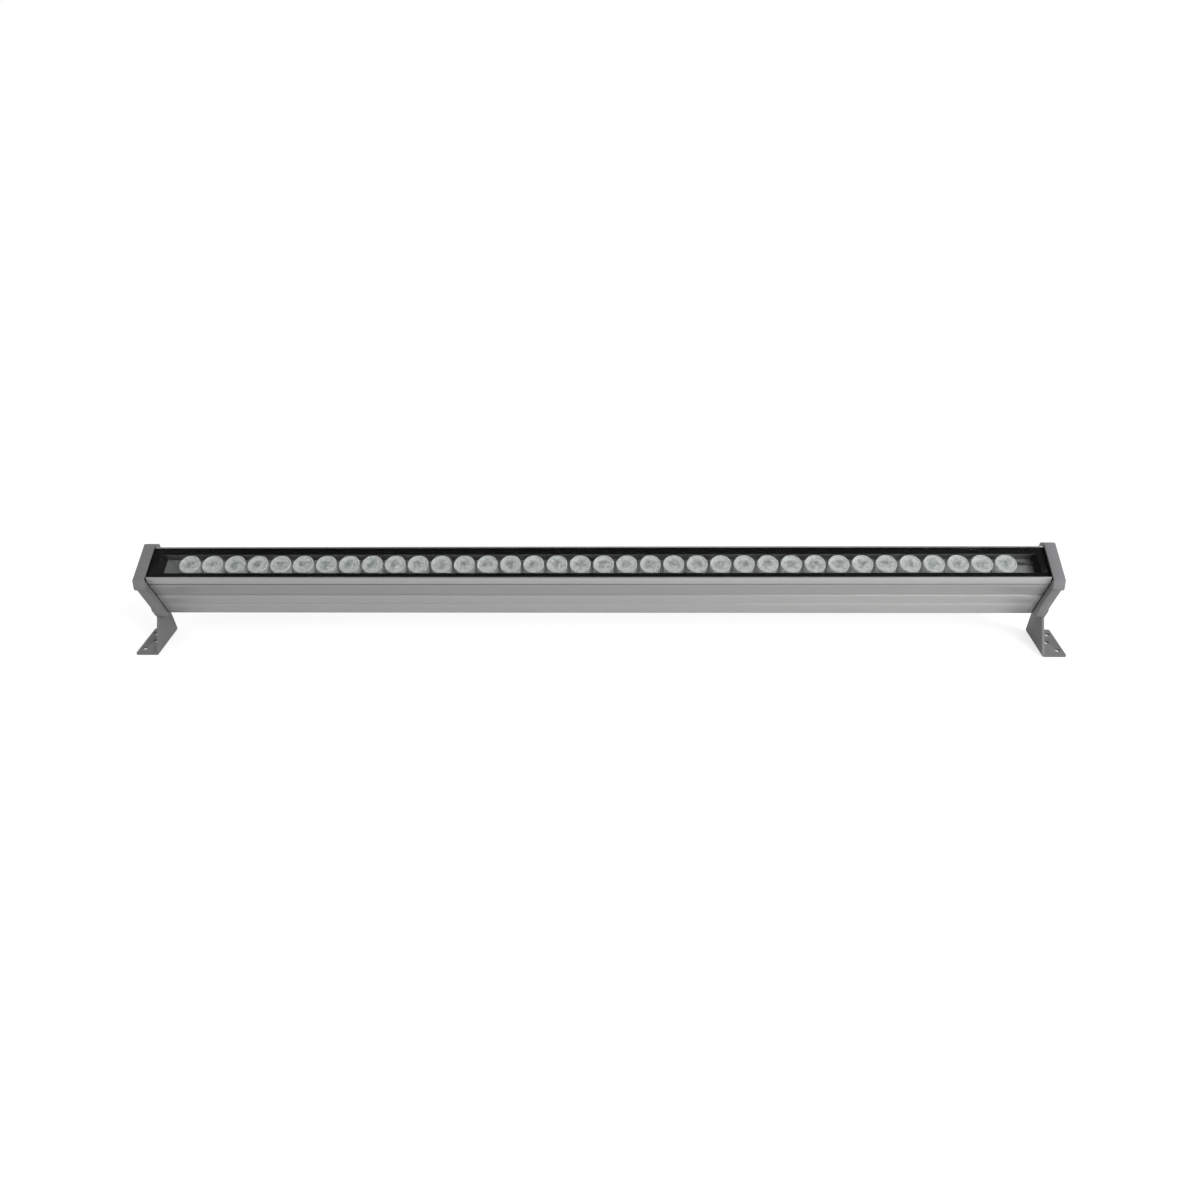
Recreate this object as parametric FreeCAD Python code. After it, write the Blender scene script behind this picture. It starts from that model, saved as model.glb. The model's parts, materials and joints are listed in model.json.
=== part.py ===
import FreeCAD, Part
import math
import os

# Linear wall washer light on two feet, in millimetres, +Z up.
# X runs along the light, -Y is the side that the glass leans towards.
# The origin is the middle of the pattern of outer foot holes, on the mounting surface.
# The head is drawn upright about its pivot line (x, across, height) and then leaned by head_tilt.

# ---- driving dimensions: whole light ----
overall_length = 1000.0  # between the outer faces of the end caps
head_tilt = 26.5  # lean of the head at rest, degrees
pivot_height = 81.8  # pivot line above the mounting surface
pivot_setback = 4.2  # pivot line behind the middle of the feet

# ---- end caps and their gaskets ----
cap_thickness = 12.0
cap_height = 69.5
cap_top_half_width = 24.5
cap_flange_half_width = 30.4
cap_top_slope_depth = 7.5
cap_flange_depth = 10.5  # full thickness from the top down to here
cap_flange_edge = 0.6
cap_body_half_width = 29.8
cap_face_recess = 2.0  # outer face below the flange
cap_band_half_width = 31.6
cap_band_height = 18.5  # above the cap's bottom
cap_band_slope = 4.0
cap_corner_width = 5.0
cap_corner_height = 8.0
cap_top_proud = 0.8  # cap above the rim of the housing
cap_bottom_proud = 0.35  # cap below the bottom of the housing
cap_gasket_thickness = 1.5
cap_gasket_inset = 0.9
spigot_length = 3.0
spigot_half_width = 12.0
spigot_clearance = 0.4
cap_screw_radius = 1.75
cap_screw_length = 22.0
cap_screw_head_radius = 3.5
cap_screw_head_height = 2.4
cap_screw_hole_radius = 2.1
cap_counterbore_radius = 3.9
cap_counterbore_depth = 3.2
screw_port_radius = 1.8
upper_port_across = 19.8
upper_port_depth = 14.0  # below the rim
lower_port_boss_radius = 3.2
lower_port_inset = 2.4  # port axis from the lower chamber's side and bottom

# ---- housing extrusion ----
housing_half_width = 23.05
lip_half_width = 23.3
lip_depth = 7.0
rim_width = 1.5
lip_groove_height = 2.2
lip_groove_gap = 0.5
lip_groove_depth = 1.6
panel_bands = ((17.2, 30.7, 0.8), (41.0, 48.2, 0.35))  # start and end below the rim, cut at the end
housing_corner_radius = 2.0
ledge_half_gap = 12.5
ledge_thickness = 1.5
upper_chamber_half_width = 16.5
web_thickness = 3.5
side_wall = 2.5
bottom_wall = 3.0
rail_half_gap = 13.0
rail_thickness = 1.6

# ---- glass ----
glass_half_width = 19.1
glass_thickness = 4.0
glass_recess = 0.2
glass_side_gap = 0.3
glass_edge_chamfer = 0.3
glass_gasket_thickness = 0.8
end_plug_length = 8.0

# ---- light engine ----
lens_pitch = 25.38
lens_row_end_room = 20.0  # least bare board beyond the last lens's pitch
lens_radius = 11.4
lens_foot_radius = 8.5
lens_cone_height = 5.0
lens_rim_chamfer = 0.6
lens_rim_width = 1.3
lens_dish_depth = 0.7
lens_cavity_radius = 4.0
lens_cavity_top_radius = 3.0
lens_cavity_height = 6.0
lens_height = 14.4
lens_glass_gap = 0.3
emitter_width = 3.5
emitter_height = 0.9
emitter_dome_radius = 1.35
board_half_width = 15.0
board_thickness = 1.6
board_end_gap = 0.3
board_screw_radius = 1.5
board_screw_head_radius = 2.75
board_screw_head_height = 1.8
board_screw_length = 4.8
board_screw_across = 12.2
board_screw_count = 4  # on each board, spread over the gaps between its lenses
board_screw_clearance = 0.1
link_wire_radius = 0.6
link_wire_across = 13.2
link_wire_span = 8.0
link_wire_rise = 2.4
link_wire_bend = 1.4

# ---- lead from the boards to the driver ----
lead_radius = 1.25
lead_bend = 2.0
lead_lens_gap = 3.4
lead_across = 8.0
lead_board_rise = 3.2
lead_end_distance = 4.7  # from the end of the housing to where the lead goes down
lead_plug_gap = 0.3
lead_block_gap = 3.2  # between the lead and the top of the terminal block
grommet_bore_clearance = 0.1
grommet_neck_radius = 2.3
grommet_flange_radius = 3.4
grommet_flange_thickness = 1.2

# ---- driver in the lower chamber ----
driver_block_distance = 15.0
driver_length = 200.0
driver_half_width = 14.5
driver_height = 25.0
driver_wall = 1.5
driver_rail_gap = 0.3
driver_cover_thickness = 1.5
driver_board_thickness = 1.6
driver_board_lift = 3.0
driver_board_margin = 0.3
driver_post_radius = 2.0
driver_post_inset = 4.5
transformer_size = (26.0, 20.0, 13.0)
transformer_offset = 12.0
capacitor_radius = 5.0
capacitor_height = 14.0
capacitor_offsets = (-70.0, -56.0, 58.0)
foam_length = 12.0

# ---- terminal block, its leads and the earth point ----
block_gland_distance = 34.0  # between their middles
block_length = 18.0
block_half_width = 12.5
block_height = 14.0
block_pole_pitch = 8.0
block_screw_radius = 2.0
block_screw_height = 1.0
block_screw_offset = 5.0
block_screw_sink = 1.2
input_lead_radius = 1.1
input_lead_height = 7.0  # above the lower chamber's floor
lug_thickness = 0.8
lug_half_width = 4.0
lug_reach = 16.0
earth_screw_radius = 2.0
earth_screw_head_radius = 3.6
earth_screw_head_height = 2.4
earth_screw_length = 4.0
earth_lead_radius = 1.2

# ---- cable gland in the bottom of the housing ----
gland_end_distance = 28.5  # from the end of the housing
gland_across = 5.5
gland_thread_radius = 6.0
gland_hole_clearance = 0.2
gland_bore_radius = 3.9
gland_hex_width = 15.0
gland_hex_height = 5.5
gland_neck_radius = 6.4
gland_neck_length = 7.0
gland_inner_reach = 7.0
gland_seal_bore_radius = 3.25
gland_seal_radius = 4.9
gland_seal_length = 8.0
gland_nut_wall_gap = 0.15
gland_nut_hex_gap = 0.3
gland_nut_mouth_radius = 4.1
gland_nut_end_wall = 2.2
gland_lock_nut_height = 4.5
gland_ring_thickness = 1.5

# ---- pivots ----
bolt_radius = 3.0
bolt_head_width = 10.0
bolt_head_height = 4.0
bolt_reach_in_cap = 8.4
bolt_hole_extra_depth = 0.6
thread_gap = 0.05
friction_washer_thickness = 0.5
friction_washer_radius = 9.0
flat_washer_thickness = 1.2
flat_washer_radius = 6.0
spring_washer_thickness = 1.6
spring_washer_radius = 5.4
spring_washer_bore_radius = 3.2
spring_washer_slot = 1.0
washer_clearance = 0.15
pivot_running_clearance = 0.05
bracket_side_play = 0.05

# ---- brackets ----
bracket_thickness = 2.5
bracket_hub_radius = 9.5
foot_half_depth = 26.6
foot_length = 26.75  # from the leg's inner face to the foot's outer edge
foot_corner_radius = 1.5
bend_inner_radius = 0.6
leg_shoulder_height = 3.2
leg_waist_height = 37.5  # the near side is cut back up to here
foot_hole_radius = 3.0
outer_hole_spacing = 32.0
outer_hole_edge = 6.2  # from the foot's outer edge
middle_hole_edge = 13.1

# ---- places worked out from the sizes above ----
half_length = overall_length / 2
cap_top = cap_height / 2
rim_height = cap_top - cap_top_proud
housing_bottom = -cap_top + cap_bottom_proud
cap_inner_x = half_length - cap_thickness
cap_face_x = half_length - cap_face_recess
housing_half_length = cap_inner_x - cap_gasket_thickness
glass_top = rim_height - glass_recess
glass_bottom = glass_top - glass_thickness
ledge_top = glass_bottom - glass_gasket_thickness
upper_chamber_top = ledge_top - ledge_thickness
lens_top = glass_bottom - lens_glass_gap
board_top = lens_top - lens_height
board_bottom = board_top - board_thickness
lower_chamber_top = board_bottom - web_thickness
lower_chamber_bottom = housing_bottom + bottom_wall
lower_chamber_half_width = housing_half_width - side_wall
rail_bottom = lower_chamber_bottom + driver_height + driver_rail_gap
rim_inner = glass_half_width + glass_side_gap
upper_port_height = rim_height - upper_port_depth
lower_port_across = lower_chamber_half_width - lower_port_inset
lower_port_height = lower_chamber_bottom + lower_port_inset
screw_places = [
    (side * across, height)
    for across, height in ((upper_port_across, upper_port_height), (lower_port_across, lower_port_height))
    for side in (-1, 1)
]
board_end_x = housing_half_length - end_plug_length - board_end_gap
lens_count_per_board = int((board_end_x - lens_row_end_room) / lens_pitch)
lead_start_x = lens_pitch * (lens_count_per_board - 0.5) + lens_radius + lead_lens_gap
lead_drop_x = housing_half_length - lead_end_distance
lead_run_height = board_top + lead_board_rise
grommet_bore_radius = lead_radius + grommet_bore_clearance
gland_x = housing_half_length - gland_end_distance
block_middle_x = gland_x - block_gland_distance
block_left_x = block_middle_x - block_length / 2
block_top = lower_chamber_bottom + block_height
lead_driver_height = block_top + lead_block_gap + lead_radius
driver_right_x = block_left_x - driver_block_distance
driver_middle_x = driver_right_x - driver_length / 2
driver_left_x = driver_right_x - driver_length
driver_case_top = lower_chamber_bottom + driver_height - driver_cover_thickness
driver_floor = lower_chamber_bottom + driver_wall
driver_board_top = driver_floor + driver_board_lift + driver_board_thickness
pole_places = [block_pole_pitch * step for step in (-1, 0, 1)]
earth_across = -block_pole_pitch
earth_screw_x = block_middle_x + lug_reach
gland_neck_end = housing_bottom - gland_ring_thickness - gland_hex_height - gland_neck_length
friction_washer_outer_x = cap_face_x + friction_washer_thickness
leg_inner_x = friction_washer_outer_x + bracket_side_play
leg_outer_x = leg_inner_x + bracket_thickness
flat_washer_inner_x = leg_outer_x + bracket_side_play
spring_washer_inner_x = flat_washer_inner_x + flat_washer_thickness
bolt_head_inner_x = spring_washer_inner_x + spring_washer_thickness
foot_outer_x = leg_inner_x + foot_length

ALONG = FreeCAD.Vector(1, 0, 0)
ACROSS = FreeCAD.Vector(0, 1, 0)
UP = FreeCAD.Vector(0, 0, 1)
DOWN = FreeCAD.Vector(0, 0, -1)


# ---- shape helpers ----
def box(x_range, y_range, z_range):
    (x0, x1), (y0, y1), (z0, z1) = x_range, y_range, z_range
    return Part.makeBox(x1 - x0, y1 - y0, z1 - z0, FreeCAD.Vector(x0, y0, z0))


def rod(radius, start, direction, length):
    return Part.makeCylinder(radius, length, FreeCAD.Vector(*start), direction)


def prism_along_x(outline, x_range):
    """A solid with a constant (across, height) outline from one x to another."""
    x0, x1 = x_range
    corners = [FreeCAD.Vector(x0, across, height) for across, height in outline]
    face = Part.Face(Part.makePolygon(corners + corners[:1]))
    return face.extrude(FreeCAD.Vector(x1 - x0, 0, 0))


def hex_prism(width, start, direction, length):
    """A hexagonal prism, width across flats, along the direction from start."""
    corner_radius = width / math.sqrt(3)
    corners = []
    for step in range(7):
        angle = math.radians(60 * step)
        corners.append(FreeCAD.Vector(corner_radius * math.cos(angle), corner_radius * math.sin(angle), 0))
    solid = Part.Face(Part.makePolygon(corners)).extrude(UP * length)
    solid.Placement = FreeCAD.Placement(FreeCAD.Vector(*start), FreeCAD.Rotation(UP, direction))
    return solid


def revolve_upright(outline):
    """A solid of revolution about Z from (radius, height) points."""
    corners = [FreeCAD.Vector(radius, 0, height) for radius, height in outline]
    face = Part.Face(Part.makePolygon(corners + corners[:1]))
    return face.revolve(FreeCAD.Vector(0, 0, 0), UP, 360)


def tube_along(points, radius, bend):
    """A round tube through the points, with a tangent arc of radius bend at each inner point."""
    corners = [FreeCAD.Vector(*point) for point in points]
    edges = []
    start = corners[0]
    for before, corner, after in zip(corners, corners[1:], corners[2:]):
        back = (before - corner).normalize()
        ahead = (after - corner).normalize()
        half_angle = back.getAngle(ahead) / 2
        run_in = corner + back * (bend / math.tan(half_angle))
        run_out = corner + ahead * (bend / math.tan(half_angle))
        bisector = (back + ahead).normalize()
        crown = corner + bisector * (bend / math.sin(half_angle) - bend)
        edges.append(Part.LineSegment(start, run_in).toShape())
        edges.append(Part.Arc(run_in, crown, run_out).toShape())
        start = run_out
    edges.append(Part.LineSegment(start, corners[-1]).toShape())
    heading = corners[1] - corners[0]
    section = Part.Wire([Part.Circle(corners[0], heading, radius).toShape()])
    return Part.Wire(edges).makePipeShell([section], True, False)


def mirrored(outline):
    """Close a symmetric outline from its half with positive across values, top to bottom."""
    return outline + [(-across, height) for across, height in reversed(outline)]


def other_side(shape):
    return shape.mirror(FreeCAD.Vector(0, 0, 0), ALONG)


def both_sides(shape):
    return [shape, other_side(shape)]


def lean(shapes):
    """Move head pieces from the upright drawing to their place at rest."""
    to_rest = FreeCAD.Placement(
        FreeCAD.Vector(0, pivot_setback, pivot_height), FreeCAD.Rotation(ALONG, head_tilt)
    )
    leaned = []
    for shape in shapes:
        moved = shape.copy()
        moved.Placement = to_rest.multiply(moved.Placement)
        leaned.append(moved)
    return leaned


def slab(x_range, half_width, z_range):
    return box(x_range, (-half_width, half_width), z_range)


# ---- housing ----
def housing_outline():
    half = [(rim_inner, rim_height), (rim_inner + rim_width, rim_height)]
    lip_bottom = rim_height - lip_depth
    groove_top = lip_bottom - lip_groove_gap
    groove_bottom = groove_top - lip_groove_height
    groove_floor = lip_half_width - lip_groove_depth
    half += [(lip_half_width, lip_bottom), (lip_half_width, groove_top)]
    half += [(groove_floor, groove_top), (groove_floor, groove_bottom), (housing_half_width, groove_bottom)]
    for start_depth, end_depth, cut in panel_bands:
        band_end = rim_height - end_depth
        half += [(housing_half_width, rim_height - start_depth)]
        half += [(housing_half_width - cut, band_end), (housing_half_width, band_end)]
    half += [(housing_half_width, housing_bottom)]
    return mirrored(half)


def make_housing():
    whole = (-housing_half_length, housing_half_length)
    past_rim = rim_height + 1
    body = prism_along_x(housing_outline(), whole)
    bottom_edges = [
        edge for edge in body.Edges
        if edge.BoundBox.XLength > 1 and edge.BoundBox.ZMax < housing_bottom + 0.01
    ]
    body = body.makeFillet(housing_corner_radius, bottom_edges)
    cuts = [
        slab(whole, rim_inner, (ledge_top, past_rim)),
        slab(whole, ledge_half_gap, (upper_chamber_top, past_rim)),
        slab(whole, upper_chamber_half_width, (board_bottom, upper_chamber_top)),
        slab(whole, lower_chamber_half_width, (lower_chamber_bottom, lower_chamber_top)),
    ]
    body = body.cut(cuts)
    rail_heights = (rail_bottom, rail_bottom + rail_thickness)
    added = []
    for side in (-1, 1):
        reach = sorted((side * rail_half_gap, side * (lower_chamber_half_width + side_wall / 2)))
        added.append(box(whole, reach, rail_heights))
        boss_start = (-housing_half_length, side * lower_port_across, lower_port_height)
        added.append(rod(lower_port_boss_radius, boss_start, ALONG, 2 * housing_half_length))
    body = body.fuse(added).removeSplitter()
    holes = []
    for across, height in screw_places:
        start = (-housing_half_length, across, height)
        holes.append(rod(screw_port_radius, start, ALONG, 2 * housing_half_length))
    for x, across in board_screw_places():
        holes.append(rod(board_screw_radius + thread_gap, (x, across, board_bottom), DOWN, web_thickness))
    holes.append(rod(grommet_neck_radius, lead_drop(board_bottom), DOWN, web_thickness))
    gland_start = (gland_x, gland_across, lower_chamber_bottom)
    holes.append(rod(gland_thread_radius + gland_hole_clearance, gland_start, DOWN, bottom_wall))
    earth_start = (earth_screw_x, earth_across, lower_chamber_top)
    holes.append(rod(earth_screw_radius + thread_gap, earth_start, UP, web_thickness))
    return [body.cut(holes)]


# ---- glass and its seals ----
def make_glass():
    edge = glass_edge_chamfer
    half = [(glass_half_width - edge, glass_top), (glass_half_width, glass_top - edge)]
    half += [(glass_half_width, glass_bottom + edge), (glass_half_width - edge, glass_bottom)]
    return [prism_along_x(mirrored(half), (-housing_half_length, housing_half_length))]


def make_glass_gasket():
    """Two black strips of L section, under the glass's long edges and beside them."""
    lip_top = glass_top - glass_edge_chamfer
    outline = [(ledge_half_gap, ledge_top), (rim_inner, ledge_top), (rim_inner, lip_top)]
    outline += [(glass_half_width, lip_top), (glass_half_width, glass_bottom)]
    outline += [(ledge_half_gap, glass_bottom)]
    strips = []
    for side in (-1, 1):
        corners = [(side * across, height) for across, height in outline]
        strips.append(prism_along_x(corners, (-housing_half_length, housing_half_length)))
    return strips


def make_end_plugs():
    """Black silicone plugs that close the upper chamber at both ends, up to the glass."""
    reach = (housing_half_length - end_plug_length, housing_half_length)
    low = slab(reach, upper_chamber_half_width, (board_bottom, upper_chamber_top))
    high = slab(reach, ledge_half_gap, (upper_chamber_top, glass_bottom))
    plug = low.fuse(high).removeSplitter()
    room = lead_radius + lead_plug_gap
    channel = box(
        (reach[0], lead_drop_x + room),
        (lead_across - room, lead_across + room),
        (board_bottom, lead_run_height + room),
    )
    return [plug.cut(channel), other_side(plug)]


# ---- light engine ----
def lens_places():
    return [lens_pitch * (step + 0.5) for step in range(lens_count_per_board)]


def board_screw_places():
    """Screws in gaps between lenses, on alternate edges of each board."""
    places = []
    for number in range(board_screw_count):
        gap = round(number * (lens_count_per_board - 2) / (board_screw_count - 1))
        x = lens_pitch * (gap + 1)
        across = board_screw_across if number % 2 else -board_screw_across
        places += [(x, across), (-x, across)]
    return places


def make_board(side):
    reach = sorted((side * board_end_gap / 2, side * board_end_x))
    board = slab(reach, board_half_width, (board_bottom, board_top))
    holes = []
    for x, across in board_screw_places():
        if x * side > 0:
            hole_radius = board_screw_radius + board_screw_clearance
            holes.append(rod(hole_radius, (x, across, board_top), DOWN, board_thickness))
    return [board.cut(holes)]


def make_emitter():
    half = emitter_width / 2
    base = box((-half, half), (-half, half), (board_top, board_top + emitter_height))
    dome_middle = FreeCAD.Vector(0, 0, board_top + emitter_height)
    dome = Part.makeSphere(emitter_dome_radius, dome_middle, UP, 0, 90, 360)
    return base.fuse(dome).removeSplitter()


def make_lens():
    """A clear collimator: a cone, a short cylinder, a dished top and a hollow for the emitter."""
    top = lens_height
    dish_radius = lens_radius - lens_rim_chamfer - lens_rim_width
    outline = [(lens_cavity_radius, 0), (lens_foot_radius, 0), (lens_radius, lens_cone_height)]
    outline += [(lens_radius, top - lens_rim_chamfer), (lens_radius - lens_rim_chamfer, top)]
    outline += [(dish_radius, top), (dish_radius - lens_dish_depth, top - lens_dish_depth)]
    outline += [(0, top - lens_dish_depth), (0, lens_cavity_height)]
    outline += [(lens_cavity_top_radius, lens_cavity_height)]
    return revolve_upright(outline).translated(FreeCAD.Vector(0, 0, board_top))


def in_row(shape, side):
    return [shape.translated(FreeCAD.Vector(side * x, 0, 0)) for x in lens_places()]


def make_board_screws():
    screws = []
    for x, across in board_screw_places():
        head = rod(board_screw_head_radius, (x, across, board_top), UP, board_screw_head_height)
        shank = rod(board_screw_radius, (x, across, board_top), DOWN, board_screw_length)
        screws.append(head.fuse(shank).removeSplitter())
    return screws


def make_link_wires():
    """Two short wires that bridge the joint between the boards."""
    half = link_wire_span / 2
    top = board_top + link_wire_rise
    wires = []
    for across in (-link_wire_across, link_wire_across):
        points = [(-half, across, board_top), (-half, across, top)]
        points += [(half, across, top), (half, across, board_top)]
        wires.append(tube_along(points, link_wire_radius, link_wire_bend))
    return wires


def lead_drop(height):
    return (lead_drop_x, lead_across, height)


def make_board_lead():
    """The black two-core lead from the right-hand board, over its end and down to the driver."""
    points = [(lead_start_x, lead_across, board_top), (lead_start_x, lead_across, lead_run_height)]
    points += [lead_drop(lead_run_height), lead_drop(lead_driver_height)]
    points += [(driver_right_x, lead_across, lead_driver_height)]
    return [tube_along(points, lead_radius, lead_bend)]


def make_web_grommet():
    """A rubber bush around the lead, flush with the web's top, with a flange under it."""
    length = web_thickness + grommet_flange_thickness
    neck = rod(grommet_neck_radius, lead_drop(board_bottom), DOWN, length)
    flange = rod(grommet_flange_radius, lead_drop(lower_chamber_top), DOWN, grommet_flange_thickness)
    bush = neck.fuse(flange).removeSplitter()
    return [bush.cut(rod(grommet_bore_radius, lead_drop(board_bottom), DOWN, length))]


# ---- driver ----
def make_driver_case():
    reach = (driver_left_x, driver_right_x)
    inner_reach = (driver_left_x + driver_wall, driver_right_x - driver_wall)
    outer = slab(reach, driver_half_width, (lower_chamber_bottom, driver_case_top))
    hollow = slab(inner_reach, driver_half_width - driver_wall, (driver_floor, driver_case_top))
    posts = []
    for x in (driver_left_x + driver_post_inset, driver_right_x - driver_post_inset):
        for side in (-1, 1):
            across = side * (driver_half_width - driver_post_inset)
            posts.append(rod(driver_post_radius, (x, across, driver_floor), UP, driver_board_lift))
    return [outer.cut(hollow).fuse(posts).removeSplitter()]


def make_driver_cover():
    reach = (driver_left_x, driver_right_x)
    return [slab(reach, driver_half_width, (driver_case_top, driver_case_top + driver_cover_thickness))]


def make_driver_board():
    inset = driver_wall + driver_board_margin
    reach = (driver_left_x + inset, driver_right_x - inset)
    heights = (driver_board_top - driver_board_thickness, driver_board_top)
    return [slab(reach, driver_half_width - inset, heights)]


def make_transformer():
    length, width, height = transformer_size
    middle = driver_middle_x + transformer_offset
    reach = (middle - length / 2, middle + length / 2)
    return [slab(reach, width / 2, (driver_board_top, driver_board_top + height))]


def make_capacitors():
    places = [(driver_middle_x + offset, 0, driver_board_top) for offset in capacitor_offsets]
    return [rod(capacitor_radius, place, UP, capacitor_height) for place in places]


def make_driver_foam():
    reach = (driver_left_x - foam_length, driver_left_x)
    return [slab(reach, driver_half_width, (lower_chamber_bottom, lower_chamber_bottom + driver_height))]


# ---- terminal block and earth point ----
def make_terminal_block():
    reach = (block_left_x, block_left_x + block_length)
    block = slab(reach, block_half_width, (lower_chamber_bottom, block_top))
    wells = [rod(block_screw_radius, (x, y, block_top - block_screw_sink), UP, block_screw_sink)
             for x, y in block_screw_places()]
    return [block.cut(wells)]


def block_screw_places():
    return [
        (block_middle_x + side * block_screw_offset, across) for side in (-1, 1) for across in pole_places
    ]


def make_terminal_screws():
    radius = block_screw_radius - thread_gap
    start_height = block_top - block_screw_sink
    return [rod(radius, (x, y, start_height), UP, block_screw_height) for x, y in block_screw_places()]


def make_input_leads():
    height = lower_chamber_bottom + input_lead_height
    length = block_left_x - driver_right_x
    starts = [(driver_right_x, across, height) for across in pole_places]
    return [rod(input_lead_radius, start, ALONG, length) for start in starts]


def make_earth_lead():
    """The earth lead, from the end pole of the block up to the lug under the web."""
    length = lower_chamber_top - lug_thickness - block_top
    return [rod(earth_lead_radius, (block_middle_x, earth_across, block_top), UP, length)]


def make_earth_lug():
    reach = (block_middle_x - lug_half_width, earth_screw_x + lug_half_width)
    sides = (earth_across - lug_half_width, earth_across + lug_half_width)
    lug = box(reach, sides, (lower_chamber_top - lug_thickness, lower_chamber_top))
    screw_place = (earth_screw_x, earth_across, lower_chamber_top)
    return [lug.cut(rod(earth_screw_radius + thread_gap, screw_place, DOWN, lug_thickness))]


def make_earth_screw():
    start = (earth_screw_x, earth_across, lower_chamber_top - lug_thickness)
    head = rod(earth_screw_head_radius, start, DOWN, earth_screw_head_height)
    shank = rod(earth_screw_radius, start, UP, earth_screw_length)
    return [head.fuse(shank).removeSplitter()]


# ---- cable gland ----
def gland_place(height):
    return (gland_x, gland_across, height)


def make_gland_body():
    ring_bottom = housing_bottom - gland_ring_thickness
    thread_top = lower_chamber_bottom + gland_inner_reach
    thread = rod(gland_thread_radius, gland_place(thread_top), DOWN, thread_top - ring_bottom)
    head = hex_prism(gland_hex_width, gland_place(ring_bottom), DOWN, gland_hex_height)
    neck_top = ring_bottom - gland_hex_height
    neck = rod(gland_neck_radius, gland_place(neck_top), DOWN, gland_neck_length)
    body = thread.fuse([head, neck]).removeSplitter()
    bore = rod(gland_bore_radius, gland_place(thread_top), DOWN, thread_top - gland_neck_end)
    seal_top = gland_place(gland_neck_end + gland_seal_length)
    pocket = rod(gland_seal_radius + thread_gap, seal_top, DOWN, gland_seal_length)
    return [body.cut([bore, pocket])]


def ring_around_gland(outer_radius, inner_radius, top, length):
    outer = rod(outer_radius, gland_place(top), DOWN, length)
    return outer.cut(rod(inner_radius, gland_place(top), DOWN, length))


def make_gland_ring():
    inner = gland_thread_radius + gland_hole_clearance
    outer = gland_hex_width / 2 - gland_hole_clearance
    return [ring_around_gland(outer, inner, housing_bottom, gland_ring_thickness)]


def make_gland_seal():
    top = gland_neck_end + gland_seal_length
    return [ring_around_gland(gland_seal_radius, gland_seal_bore_radius, top, gland_seal_length)]


def make_gland_nut():
    inside_length = gland_neck_length - gland_nut_hex_gap
    top = gland_neck_end + inside_length
    nut = hex_prism(gland_hex_width, gland_place(top), DOWN, inside_length + gland_nut_end_wall)
    inside = rod(gland_neck_radius + gland_nut_wall_gap, gland_place(top), DOWN, inside_length)
    mouth = rod(gland_nut_mouth_radius, gland_place(top), DOWN, inside_length + gland_nut_end_wall)
    return [nut.cut([inside, mouth])]


def make_gland_lock_nut():
    start = gland_place(lower_chamber_bottom)
    nut = hex_prism(gland_hex_width, start, UP, gland_lock_nut_height)
    return [nut.cut(rod(gland_thread_radius + thread_gap, start, UP, gland_lock_nut_height))]


# ---- end caps ----
def cap_outline():
    band_top = -cap_top + cap_band_height
    flange_bottom = cap_top - cap_flange_depth
    half = [(cap_top_half_width, cap_top), (cap_flange_half_width, cap_top - cap_top_slope_depth)]
    half += [(cap_flange_half_width, flange_bottom), (cap_body_half_width, flange_bottom - cap_flange_edge)]
    half += [(cap_body_half_width, band_top + cap_band_slope), (cap_band_half_width, band_top)]
    half += [(cap_band_half_width, -cap_top + cap_corner_height)]
    half += [(cap_band_half_width - cap_corner_width, -cap_top)]
    return mirrored(half)


def spigot_heights(clearance):
    """From the lower chamber's floor to under the grommet's flange."""
    return (lower_chamber_bottom + clearance, lower_chamber_top - grommet_flange_thickness - clearance)


def make_cap():
    """The right-hand cap: plate, spigot, sunk screw seats and the tapped pivot hole."""
    plate = prism_along_x(cap_outline(), (cap_inner_x, half_length))
    below_flange = (-cap_top, cap_top - cap_flange_depth)
    plate = plate.cut(slab((cap_face_x, half_length), cap_band_half_width, below_flange))
    spigot_reach = (housing_half_length - spigot_length, cap_inner_x)
    spigot = slab(spigot_reach, spigot_half_width, spigot_heights(spigot_clearance))
    cap = plate.fuse(spigot).removeSplitter()
    cuts = []
    for across, height in screw_places:
        start = (cap_face_x, across, height)
        cuts.append(rod(cap_screw_hole_radius, start, -ALONG, cap_thickness))
        cuts.append(rod(cap_counterbore_radius, start, -ALONG, cap_counterbore_depth))
    hole_depth = bolt_reach_in_cap + bolt_hole_extra_depth
    cuts.append(rod(bolt_radius + thread_gap, (cap_face_x, 0, 0), -ALONG, hole_depth))
    return cap.cut(cuts)


def make_cap_gasket():
    """The right-hand gasket: the housing's end outline, set in a little, with its holes."""
    reach = (housing_half_length, cap_inner_x)
    half_width = housing_half_width - cap_gasket_inset
    heights = (housing_bottom + cap_gasket_inset, rim_height - cap_gasket_inset)
    sheet = slab(reach, half_width, heights)
    window = slab(reach, spigot_half_width + spigot_clearance, spigot_heights(0))
    holes = [rod(cap_screw_hole_radius, (housing_half_length, y, z), ALONG, cap_gasket_thickness)
             for y, z in screw_places]
    return sheet.cut([window] + holes)


def make_cap_screws():
    screws = []
    head_x = cap_face_x - cap_counterbore_depth
    for across, height in screw_places:
        head = rod(cap_screw_head_radius, (head_x, across, height), ALONG, cap_screw_head_height)
        shank = rod(cap_screw_radius, (head_x, across, height), -ALONG, cap_screw_length)
        screws.append(head.fuse(shank).removeSplitter())
    return screws


# ---- pivots ----
def washer(inner_x, thickness, radius, bore_radius):
    disc = rod(radius, (inner_x, 0, 0), ALONG, thickness)
    return disc.cut(rod(bore_radius, (inner_x, 0, 0), ALONG, thickness))


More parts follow.
